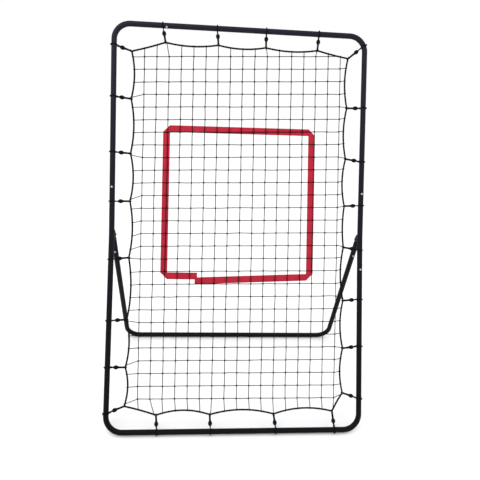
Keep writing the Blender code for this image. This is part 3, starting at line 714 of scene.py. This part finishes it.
def make_hinges():
    """Bolts with domed heads on the inner sides; the CAD's own brackets and nuts, their edges eased."""
    reach = 0.0108
    thread = (0.0, -0.0002)
    for side, sign in (("left", -1), ("right", 1)):
        name = f"pivot_bolt_{side}"
        hinge = Vector((sign * LEG_HALF_WIDTH, 0.0, 0.0))
        profile = [(reach + 0.0025, 0.0012), (reach + 0.0024, 0.0028), (reach + 0.0018, 0.0044)]
        profile += [(reach + 0.0008, 0.0054), (reach, 0.0055), (reach, 0.0030)]
        turns = 9
        for turn in range(turns):
            height = -reach + 0.001 - turn * 0.0006
            profile += [(height, 0.0030 + thread[turn % 2])]
        profile += [(-reach - 0.0058, 0.0026)]
        builder = Builder()
        builder.turned(profile[::-1], hinge, hinge - Vector((sign, 0.0, 0.0)), 32)
        builder.object(name, BLACK_STEEL, "frame", LEG, "black_steel", [name])
        for node in (f"pivot_bracket_{side}", f"pivot_nut_{side}"):
            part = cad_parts[node]
            part.data.materials.clear()
            part.data.materials.append(BLACK_STEEL)
            ease = part.modifiers.new("eased_edges", "BEVEL")
            ease.width = 0.0004
            ease.segments = 2
            ease.limit_method = "ANGLE"


def make_clip(name, tube, place, at, inwards, facing):
    """A domed button on a V-shaped leaf spring, inside the swaged tube that it locks."""
    drill(tube, place, at, facing)
    at, inwards, facing = Vector(at), Vector(inwards).normalized(), Vector(facing)
    across = inwards.cross(facing)
    crown = TUBE_R + BUTTON_CROWN
    rounding = 0.0022
    profile = [(0.0063, BUTTON_R), (crown - rounding, BUTTON_R)]
    for step in range(1, 7):
        a = math.radians(85) * step / 6
        profile.append((crown - rounding * (1 - math.sin(a)), BUTTON_R - rounding * (1 - math.cos(a))))
    builder = Builder()
    builder.turned(profile, at, at + facing, 32)
    leaf = [(-0.006, 0.0063), (0.010, 0.0063), (0.024, 0.0062)]
    leaf += [(0.0262, 0.0054), (0.0268, 0.0042), (0.0258, 0.0032), (0.010, 0.0010), (-0.003, -0.0010)]
    sections = []
    for index, (along, out) in enumerate(leaf):
        before = Vector(leaf[max(index - 1, 0)])
        after = Vector(leaf[min(index + 1, len(leaf) - 1)])
        step = (after - before).normalized()
        normal = Vector((-step.y, step.x)) * 0.0004
        loop = []
        for way, width in ((1, -1), (1, 1), (-1, 1), (-1, -1)):
            spot = Vector((along, out)) + normal * way
            loop.append(at + inwards * spot.x + facing * spot.y + across * (0.0042 * width))
        sections.append(loop)
    builder.loft(sections)
    builder.object(name, ZINC, f"{name}_body", place, "zinc_steel", [name])


def make_clips(tubes):
    """Ten clips: two in each bar, four in the side tubes and two in the leg."""
    front = (0.0, -1.0, 0.0)
    back = (0.0, 1.0, 0.0)
    turned_down = (0.0, -math.cos(BUTTON_TURN), -math.sin(BUTTON_TURN))
    for side, sign in (("left", -1), ("right", 1)):
        for end, height in (("top", PANEL_HEIGHT), ("bottom", 0.0)):
            make_clip(
                f"snap_clip_{end}_{side}", tubes[f"elbow_{end}_{side}"], PANEL,
                (sign * (ELBOW_BAR_END + BUTTON_INSET), 0.0, height), (-sign, 0.0, 0.0),
                turned_down if (end, side) == ("top", "left") else back,
            )
        for part, rim, way in (("upper", PIVOT_TUBE_HIGH, 1), ("lower", PIVOT_TUBE_LOW, -1)):
            make_clip(
                f"snap_clip_{part}_{side}", tubes[f"pivot_tube_{side}"], PANEL,
                side_point(sign, rim - way * BUTTON_INSET),
                side_point(sign, rim + way * 0.1) - side_point(sign, rim),
                back if (part, side) == ("lower", "left") else front,
            )
        make_clip(
            f"snap_clip_leg_{side}", tubes[f"leg_arm_{side}"], LEG,
            (sign * LEG_HALF_WIDTH, 0.0, -STUB_BUTTON), (0.0, 0.0, 1.0), front,
        )


# ---------------------------------------------------------------- ties

def tie_places():
    """Each tie's name, the point on its tube's axis, the tube's direction, and its hook on the rope."""
    for side, sign, ties in (("left", -1, LEFT_TIES), ("right", 1, RIGHT_TIES)):
        for number, (ring, hook) in enumerate(ties, 1):
            axis = Vector((0.0, 0.0, 1.0))
            centre = side_point(sign, ring)
            if ring > PANEL_HEIGHT - CORNER_R:
                bend = Vector((sign * (HALF_WIDTH - CORNER_R), 0.0, PANEL_HEIGHT - CORNER_R))
                out = Vector((sign * math.cos(CORNER_TIE_ANGLE), 0.0, math.sin(CORNER_TIE_ANGLE)))
                centre = bend + out * CORNER_R
                axis = Vector((-out.z, 0.0, out.x))
            hook_point = Vector((sign * (side_x(hook) - TIE_REACH), 0.0, hook))
            yield f"tie_{side}_{number}", centre, axis, hook_point
    for side, height, way, ties in (
        ("top", PANEL_HEIGHT, -1, TOP_TIES),
        ("bottom", 0.0, 1, BOTTOM_TIES),
    ):
        for number, (ring, hook) in enumerate(ties, 1):
            reach = LAST_REACH if (side, number) == ("bottom", 4) else BAR_REACH
            hook_point = Vector((hook, 0.0, height + way * reach))
            yield f"tie_{side}_{number}", Vector((ring, 0.0, height)), Vector((1.0, 0.0, 0.0)), hook_point


def make_tie(name, centre, axis, hook):
    """An elastic loop round the tube, a barrel toggle on it, and the doubled end that holds the rope."""
    through = Vector((0.0, 1.0, 0.0))
    off = (hook - centre) - axis * (hook - centre).dot(axis)
    off.normalize()
    ball = centre.lerp(hook, BALL_REACH / TIE_REACH)
    pull = (hook - centre).normalized()
    builder = Builder()
    loop_r = TIE_RING_R - LOOP_GRIP
    mouth = ball - pull * (BALL_LENGTH / 2 - 0.003)
    away = (mouth - centre).dot(off)
    touch = math.acos(loop_r / away)
    path = []
    steps = 28
    for step in range(steps + 1):
        a = touch + (TAU - 2 * touch) * step / steps
        path.append(centre + off * (loop_r * math.cos(a)) + through * (loop_r * math.sin(a)))
    gap = through * (CORD_R * 1.02)
    path = [mouth + gap, (mouth + gap).lerp(path[0], 0.5), *path]
    path += [(mouth - gap).lerp(path[-1], 0.5), mouth - gap]
    builder.tube(path, CORD_R, 12, hint=tuple(axis))
    half = BALL_LENGTH / 2
    profile = []
    steps = 12
    for step in range(steps + 1):
        t = step / steps
        height = -half + BALL_LENGTH * t
        bulge = math.sin(math.pi * t) ** BALL_FULLNESS
        profile.append((height, BALL_END_R + (BALL_R - BALL_END_R) * bulge))
    profile = [(-half, BALL_BORE_R), *profile, (half, BALL_BORE_R)]
    builder.turned(profile, ball, hook, 32)
    tail = ball + pull * (half - 0.004)
    aside = pull.cross(through)
    end = hook - pull * (ROPE_R * 0.6)
    for way in (-1, 1):
        begin = tail + aside * (0.0022 * way)
        finish = end + aside * (0.0013 * way)
        builder.tube([begin.lerp(finish, t / 6) for t in range(7)], CORD_R, 12)
    along = pull.cross(through)
    builder.ring(hook, along, ROPE_R + CORD_R * 0.8, CORD_R * 0.9, 24, 10)
    builder.ring(hook - pull * 0.0062, pull, CORD_R * 1.5, CORD_R * 0.7, 20, 8)
    return builder.object(name, ELASTIC, "frame", PANEL, "black_elastic", [name])


# ---------------------------------------------------------------- net

HOOKS = {name: hook for name, _, _, hook in tie_places()}
RIGHT_ORDER = [f"tie_right_{n}" for n in range(1, 9)]
LEFT_ORDER = [f"tie_left_{n}" for n in range(8, 0, -1)]
TOP_ORDER = [f"tie_top_{n}" for n in (1, 2, 3, 4)]
BOTTOM_ORDER = [f"tie_bottom_{n}" for n in (4, 3, 2, 1)]
CLOCKWISE = TOP_ORDER + RIGHT_ORDER + BOTTOM_ORDER + LEFT_ORDER
SAGS = {"top": SAG_TOP, "bottom": SAG_BOTTOM, "left": SAG_SIDE, "right": SAG_SIDE}


def rope_span(here, there):
    """The border rope from one hook to the next, curving inwards between them."""
    a, b = HOOKS[here], HOOKS[there]
    edge = here.split("_")[1]
    sag = SAGS[edge] if edge == there.split("_")[1] else SAG_CORNER
    if here == "tie_right_4":
        sag = SAG_TIGHT
    inwards = (b - a).normalized().cross(Vector((0.0, 1.0, 0.0))) * -1
    for step in range(SPAN_STEPS):
        t = step / SPAN_STEPS
        yield a.lerp(b, t) + inwards * (4 * sag * t * (1 - t))


def rope_run(names):
    """The rope through several hooks, as an array of points, ends included."""
    points = [p for pair in zip(names, names[1:]) for p in rope_span(*pair)]
    points.append(HOOKS[names[-1]])
    return np.array([tuple(p) for p in points])


def resampled(path, step):
    lengths = np.concatenate([[0.0], np.cumsum(np.linalg.norm(np.diff(path, axis=0), axis=1))])
    count = int(round(lengths[-1] / step))
    at = np.linspace(0.0, lengths[-1], count + 1)
    return np.column_stack([np.interp(at, lengths, path[:, i]) for i in range(3)])


def braided(along, angles):
    """How a braided cover of eight strands swells the rope at each angle."""
    one = np.sin(BRAID_STRANDS * angles + TAU * along / BRAID_PITCH)
    other = np.sin(BRAID_STRANDS * angles - TAU * along / BRAID_PITCH)
    return 0.97 + 0.05 * np.maximum(one, other)


def make_rope():
    route = resampled(rope_run(CLOCKWISE + CLOCKWISE[:1]), 0.0022)[:-1]
    builder = Builder()
    builder.tube(route, ROPE_R, 16, closed=True, swell=braided)
    builder.object("border_rope", ROPE, "frame", PANEL, "black_rope", ["border_rope"])


def knot_place(column, row):
    """A knot of the net, in the panel's plane."""
    x = FIRST_COLUMN + COLUMN_PITCH * column + COLUMN_GROWTH * column * column
    slope = TOP_ROW_SLOPE * row / (ROWS - 1)
    s = FIRST_ROW + ROW_PITCH * row + slope * (x - ROW_CENTRE)
    x -= TAPER * max(x, 0.0) * (1.0 - row / (ROWS - 1))
    return np.array([x, 0.0, s])


def rope_ends(run, axis, ats, hooks):
    """Where strands meet the rope: straight on, but at each hook the nearest one is drawn to it."""
    ats = np.array(ats)
    drawn = ats.copy()
    for hook in (HOOKS[name][axis] for name in hooks):
        nearest = int(np.argmin(np.abs(ats - hook)))
        drawn[nearest] += (hook - ats[nearest]) * HOOK_PULL
    line = run[np.argsort(run[:, axis])]
    points = np.zeros((len(drawn), 3))
    points[:, axis] = drawn
    points[:, 2 - axis] = np.interp(drawn, line[:, axis], line[:, 2 - axis])
    return points


def slack_drop(heights):
    """How far the rows' left ends hang below the rows: more and more between two of the ties."""
    high, low = HOOKS["tie_left_4"][2], HOOKS["tie_left_5"][2]
    share = (high - heights) / (high - low)
    return LEFT_DROP + np.where((share > 0.0) & (share < 0.95), LEFT_SLACK * share, 0.0)


def strand(builder, knots, lift):
    """A strand through its knots, a little slack between them."""
    path = []
    for a, b in zip(knots, knots[1:]):
        slack = RANDOM.normal(0.0, SLACK_SPREAD, 3) * (1.0, 0.6, 1.0)
        for t in (0.0, 0.25, 0.5, 0.75):
            point = a + (b - a) * t + slack * 4 * t * (1 - t)
            point[1] += lift
            path.append(point)
    path.append(knots[-1] + np.array([0.0, lift, 0.0]))
    builder.tube(path, TWINE_R, 8)


def make_net():
    """Twine in columns and rows, knotted where they cross, and looped round the rope at its ends."""
    top = rope_run(["tie_left_1"] + TOP_ORDER + ["tie_right_1"])
    bottom = rope_run(["tie_right_8"] + BOTTOM_ORDER + ["tie_left_8"])
    right = rope_run(["tie_top_4"] + RIGHT_ORDER + ["tie_bottom_4"])
    left = rope_run(["tie_bottom_1"] + LEFT_ORDER + ["tie_top_1"])
    knots = np.zeros((COLUMNS, ROWS, 3))
    for column in range(COLUMNS):
        for row in range(ROWS):
            knots[column, row] = knot_place(column, row)
    knots[:, :, 0] += RANDOM.normal(0.0, KNOT_SPREAD, (COLUMNS, ROWS))
    knots[:, :, 2] += RANDOM.normal(0.0, KNOT_SPREAD, (COLUMNS, ROWS))
    builder = Builder()
    lows = rope_ends(bottom, 0, knots[:, 0, 0] + FOOT_SHIFT, BOTTOM_ORDER)
    highs = rope_ends(top, 0, knots[:, -1, 0], TOP_ORDER)
    for low, run, high in zip(lows, knots, highs):
        strand(builder, [low, *run, high], -STRAND_LIFT)
    nears = rope_ends(left, 2, knots[0, :, 2] - slack_drop(knots[0, :, 2]), LEFT_ORDER[:-1])
    fars = rope_ends(right, 2, knots[-1, :, 2] + RIGHT_RISE, RIGHT_ORDER[1:])
    for near, run, far in zip(nears, knots.transpose(1, 0, 2), fars):
        strand(builder, [near, *run, far], STRAND_LIFT)
    ends = [(end, (1.0, 0.0, 0.0)) for end in (*lows, *highs)]
    ends += [(end, (0.0, 0.0, 1.0)) for end in (*nears, *fars)]
    for knot in knots.reshape(-1, 3):
        for tilt in (KNOT_TILT, -KNOT_TILT):
            axis = (math.sin(tilt), KNOT_LEAN, math.cos(tilt))
            builder.ring(knot, axis, KNOT_R, TWINE_R, 10, 6)
    for end, axis in ends:
        builder.ring(end, axis, ROPE_R + TWINE_R * 0.5, TWINE_R * 0.6, 14, 6)
    builder.object("net_mesh", TWINE, "frame", PANEL, "black_twine", ["net_mesh"])


# ---------------------------------------------------------------- tape

def strip(builder, start, end, layer):
    """A run of webbing between two end lines, each given as its outer and inner point in (x, s)."""
    (a, b), (c, d) = [[Vector(p) for p in line] for line in (start, end)]
    length = ((c + d) / 2 - (a + b) / 2).length
    steps = max(int(length / 0.008), 4)
    across = 10
    front = TAPE_FRONT + layer * TAPE_THICKNESS
    sections, lay_rows = [], []
    for i in range(steps + 1):
        t = i / steps
        outer, inner = a.lerp(c, t), b.lerp(d, t)
        ripple = 0.00018 * math.sin(TAU * t * length / 0.105 + layer)
        loop, lays = [], []
        for j in range(across + 1):
            v = j / across
            edge = max(0.0, abs(2 * v - 1) - 0.8) / 0.2
            spot = outer.lerp(inner, v)
            loop.append((spot.x, front + ripple - 0.00012 * edge, spot.y))
            lays.append((t * length, v * TAPE_WIDTH))
        for j in range(across, -1, -1):
            v = j / across
            spot = outer.lerp(inner, v)
            loop.append((spot.x, front + ripple + TAPE_THICKNESS, spot.y))
            lays.append((t * length, v * TAPE_WIDTH))
        sections.append(loop)
        lay_rows.append(lays)
    builder.loft(sections, lay_rows)


def stitches(builder, start, end, layer):
    """Two rows of stitches along a run of webbing."""
    (a, b), (c, d) = [[Vector(p) for p in line] for line in (start, end)]
    front = TAPE_FRONT + layer * TAPE_THICKNESS
    for share in (STITCH_INSET / TAPE_WIDTH, 1.0 - STITCH_INSET / TAPE_WIDTH):
        begin, finish = a.lerp(b, share), c.lerp(d, share)
        length = (finish - begin).length
        step = (finish - begin).normalized()
        for i in range(int(length / STITCH_PITCH)):
            at = begin + step * (i * STITCH_PITCH + 0.001)
            path = []
            for t in (0.0, 0.33, 0.67, 1.0):
                spot = at + step * (STITCH_LENGTH * t)
                path.append((spot.x, front - THREAD_R * math.sin(math.pi * t), spot.y))
            builder.tube(path, THREAD_R, 5)


def make_tape():
    """Webbing round the strike zone: five runs, folded over at the corners, its two ends lapped."""
    w = TAPE_WIDTH
    left_low = ZONE_END_LOW + ZONE_END_RISE
    lean = (ZONE_TOP_RIGHT - ZONE_TOP_LEFT) / (ZONE_RIGHT - ZONE_LEFT)
    fall = (ZONE_BOTTOM_RIGHT - ZONE_END_LOW) / (ZONE_RIGHT - ZONE_END_X)

    def top(x):
        return ZONE_TOP_LEFT + lean * (x - ZONE_LEFT)

    def low(x):
        return ZONE_END_LOW + fall * (x - ZONE_END_X)

    left, right = ZONE_LEFT, ZONE_RIGHT
    top_left = ((left, top(left) - w), (left + w, top(left + w)))
    top_right = ((right, top(right) - w), (right - w, top(right - w)))
    low_right = ((right, low(right) + w), (right - w, low(right - w)))
    low_left = ((left, left_low + w), (left + w, left_low))
    lap_right = tuple((ZONE_END_X - LAP, low(ZONE_END_X) + rise) for rise in (0.0, w))
    lap_left = tuple((ZONE_END_X + LAP, left_low + rise) for rise in (0.0, w))
    runs = (
        (low_left, top_left, 0),
        (top_left[::-1], top_right[::-1], 1),
        (top_right, low_right, 0),
        (low_right[::-1], lap_right, 1),
        (low_left[::-1], lap_left, 2),
    )
    band = Builder()
    thread = Builder()
    for start, end, layer in runs:
        strip(band, start, end, layer)
        stitches(thread, start, end, layer)
    for a, b in (top_left, top_right, low_right, low_left):
        outer, inner = [Vector((x, TAPE_FRONT + TAPE_THICKNESS, z)) for x, z in (a, b)]
        band.tube([outer.lerp(inner, t / 8) for t in range(9)], TAPE_THICKNESS, 10)
    tape = band.object("strike_zone_tape", WEBBING, "frame", PANEL, "red_webbing", ["strike_zone_tape"])
    seams = thread.object("strike_zone_stitching", RED_THREAD, "frame", PANEL, "red_webbing")


make_camera()
make_stage()
TUBE_COAT = tube_coat()
ZINC = steel("zinc_plate", (0.44, 0.44, 0.54), 0.42, 0.9)
BLACK_STEEL = steel("black_plate", (0.008, 0.008, 0.009), 0.5, 0.0, 0.1)
ELASTIC = braid("elastic_braid", (0.004, 0.004, 0.005), 0.006, 0.0004)
ROPE = braid("rope_braid", (0.004, 0.004, 0.005), BRAID_PITCH, 0.0004)
TWINE = twine()
WEBBING = webbing()
RED_THREAD = steel("red_thread", (0.30, 0.010, 0.024), 0.7, 0.0, 0.1)
tubes = make_tubes()
make_hinges()
make_clips(tubes)
for place in tie_places():
    make_tie(*place)
make_rope()
make_net()
make_tape()
